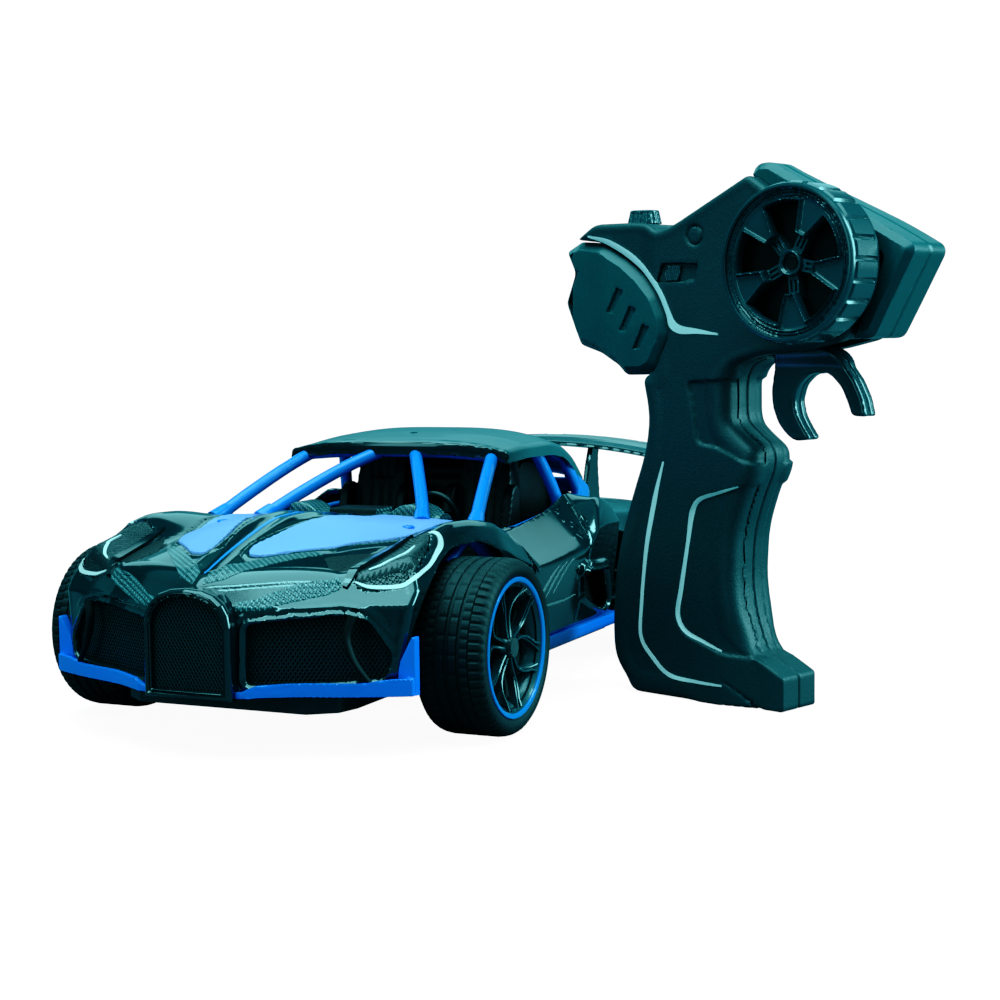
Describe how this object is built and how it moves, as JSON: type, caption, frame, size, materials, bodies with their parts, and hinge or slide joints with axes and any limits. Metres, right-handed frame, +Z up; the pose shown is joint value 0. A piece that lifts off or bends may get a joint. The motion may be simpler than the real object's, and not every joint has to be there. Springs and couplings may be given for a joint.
{
  "type": "remote control car",
  "caption": "Radio controlled toy sports car with an open tube-cage cockpit, exposed wheels and a steered front axle, standing beside its pistol-grip wheel transmitter.",
  "frame": {"origin": "ground level under the middle of the car's wheelbase, on its centre plane", "axes": "-Y towards the car's nose, +X towards the car's left side, where the transmitter stands, +Z up"},
  "size_m": [0.279, 0.2922, 0.1806],
  "materials": {
    "body_black": "polished black plastic with a teal cast",
    "panel_blue": "satin light blue plastic",
    "trim_blue": "glossy deep blue plastic",
    "cage_blue": "satin bright blue plastic",
    "roof_black": "satin black plastic",
    "mesh_black": "fine moulded mesh",
    "lamp_clear": "clear tinted lens",
    "lamp_red": "red lens",
    "trim_black": "fine grained black plastic",
    "seat_black": "matt black plastic",
    "chassis_black": "matt moulded nylon",
    "tyre": "moulded tread rubber",
    "rim": "gloss black rim with a blue edge ring",
    "steel": "turned steel",
    "brass": "turned brass",
    "gear_nylon": "moulded nylon",
    "motor_can": "drawn steel can",
    "board_green": "solder mask",
    "battery_wrap": "shrink wrap",
    "wire_red": "silicone wire",
    "tx_black": "fine textured black plastic",
    "tx_gloss": "polished black plastic",
    "tx_cover": "satin black plastic"
  },
  "bodies": {
    "chassis_body": {"chassis_tray": "chassis_black", "body_shell": "body_black", "hood_panels": "panel_blue", "front_splitter": "trim_blue", "side_skirts": "trim_blue", "roll_cage": "cage_blue", "roof_panel": "roof_black", "rear_wing": "roof_black", "wing_struts": "roof_black", "grille_meshes": "mesh_black", "headlight_lenses": "lamp_clear", "tail_light": "lamp_red", "cockpit_tub": "trim_black", "seats": "seat_black", "engine_cover": "trim_black", "rear_diffuser": "chassis_black", "body_screws": "steel", "battery_pack": "battery_wrap", "circuit_board": "board_green", "drive_motor": "motor_can", "gearbox_case": "chassis_black", "axle_bushes": "brass", "steering_servo": "chassis_black", "kingpins": "steel", "wire_harness": "wire_red", "gear_shaft": "steel"},
    "left_knuckle": {"knuckle_left": "chassis_black", "stub_axle_left": "steel"},
    "right_knuckle": {"knuckle_right": "chassis_black", "stub_axle_right": "steel"},
    "front_left_wheel": {"tyre_front_left": "tyre", "rim_front_left": "rim"},
    "front_right_wheel": {"tyre_front_right": "tyre", "rim_front_right": "rim"},
    "rear_wheels": {"rear_axle": "steel", "rims_rear": "rim", "tyres_rear": "tyre", "axle_gear": "gear_nylon", "wheel_nuts_rear": "steel"},
    "reduction": {"reduction_gear": "gear_nylon"},
    "pinion": {"motor_pinion": "brass"},
    "tie_rod_body": {"tie_rod": "chassis_black"},
    "horn": {"servo_horn": "gear_nylon"},
    "car_switch": {"power_switch": "trim_black"},
    "car_battery_door": {"battery_door": "chassis_black"},
    "transmitter": {"tx_shell_right": "tx_black", "tx_shell_left": "tx_black", "tx_head_cover": "tx_cover", "tx_rear_cover": "tx_cover", "tx_trigger_pin": "steel", "tx_circuit_board": "board_green", "tx_batteries": "battery_wrap"},
    "tx_wheel": {"tx_wheel_tyre": "tx_gloss", "tx_wheel_rim": "tx_gloss", "tx_wheel_shaft": "steel"},
    "tx_finger_trigger": {"tx_trigger": "tx_gloss"},
    "tx_switch": {"tx_power_switch": "tx_black"},
    "tx_knob": {"tx_trim_knob": "tx_black"},
    "tx_button": {"tx_round_button": "tx_black"},
    "tx_door": {"tx_battery_door": "tx_black"}
  },
  "joints": [
    {"name": "steer_left", "type": "hinge", "parent": "chassis_body", "child": "left_knuckle", "pos_m": [0.052, -0.088, 0.028], "axis": [0, 0, 1], "range_deg": [-18, 18]},
    {"name": "steer_right", "type": "hinge", "parent": "chassis_body", "child": "right_knuckle", "pos_m": [-0.052, -0.088, 0.028], "axis": [0, 0, 1], "range_deg": [-18, 18]},
    {"name": "tie_rod_slide", "type": "slide", "parent": "chassis_body", "child": "tie_rod_body", "axis": [1, 0, 0], "range_m": [-0.00566, 0.00566]},
    {"name": "servo_horn_turn", "type": "hinge", "parent": "chassis_body", "child": "horn", "pos_m": [0, -0.056, 0.03], "axis": [0, 0, 1], "range_deg": [-23.2, 23.2]},
    {"name": "front_left_spin", "type": "hinge", "parent": "left_knuckle", "child": "front_left_wheel", "pos_m": [0.068, -0.088, 0.028], "axis": [1, 0, 0], "continuous": true},
    {"name": "front_right_spin", "type": "hinge", "parent": "right_knuckle", "child": "front_right_wheel", "pos_m": [-0.068, -0.088, 0.028], "axis": [1, 0, 0], "continuous": true},
    {"name": "rear_axle_spin", "type": "hinge", "parent": "chassis_body", "child": "rear_wheels", "pos_m": [0, 0.088, 0.028], "axis": [1, 0, 0], "continuous": true},
    {"name": "reduction_spin", "type": "hinge", "parent": "chassis_body", "child": "reduction", "pos_m": [0.01, 0.0705, 0.0359], "axis": [1, 0, 0], "continuous": true},
    {"name": "pinion_spin", "type": "hinge", "parent": "chassis_body", "child": "pinion", "pos_m": [0.009, 0.05349, 0.02701], "axis": [1, 0, 0], "continuous": true},
    {"name": "car_switch_slide", "type": "slide", "parent": "chassis_body", "child": "car_switch", "axis": [0, 1, 0], "range_m": [0, 0.004]},
    {"name": "car_battery_door_drop", "type": "slide", "parent": "chassis_body", "child": "car_battery_door", "axis": [0, 0, -1], "range_m": [0, 0.01]},
    {"name": "transmitter_lift", "type": "slide", "parent": "chassis_body", "child": "transmitter", "axis": [0, 0, 1], "range_m": [0, 0.12]},
    {"name": "tx_wheel_turn", "type": "hinge", "parent": "transmitter", "child": "tx_wheel", "pos_m": [0.15724, -0.03934, 0.1464], "axis": [-0.342, -0.9397, 0], "range_deg": [-35, 35]},
    {"name": "tx_trigger_pull", "type": "hinge", "parent": "transmitter", "child": "tx_finger_trigger", "pos_m": [0.15224, -0.01624, 0.1265], "axis": [-0.342, -0.9397, 0], "range_deg": [-18, 12]},
    {"name": "tx_switch_slide", "type": "slide", "parent": "transmitter", "child": "tx_switch", "axis": [0.9397, -0.342, 0], "range_m": [0, 0.004]},
    {"name": "tx_knob_turn", "type": "hinge", "parent": "transmitter", "child": "tx_knob", "pos_m": [0.08834, 0.00702, 0.165], "axis": [0, 0, 1], "range_deg": [-135, 135]},
    {"name": "tx_button_press", "type": "slide", "parent": "transmitter", "child": "tx_button", "axis": [0.342, 0.9397, 0], "range_m": [0, 0.001]},
    {"name": "tx_battery_door_slide", "type": "slide", "parent": "transmitter", "child": "tx_door", "axis": [-0.9397, 0.342, 0], "range_m": [0, 0.02]}
  ],
  "couplings": [
    {"joint": "steer_right", "follows": "steer_left", "ratio": 1},
    {"joint": "tie_rod_slide", "follows": "steer_left", "m_per_rad": -0.018},
    {"joint": "servo_horn_turn", "follows": "steer_left", "ratio": -1.2857},
    {"joint": "reduction_spin", "follows": "rear_axle_spin", "ratio": -2.4286},
    {"joint": "pinion_spin", "follows": "rear_axle_spin", "ratio": 7.2857}
  ]
}
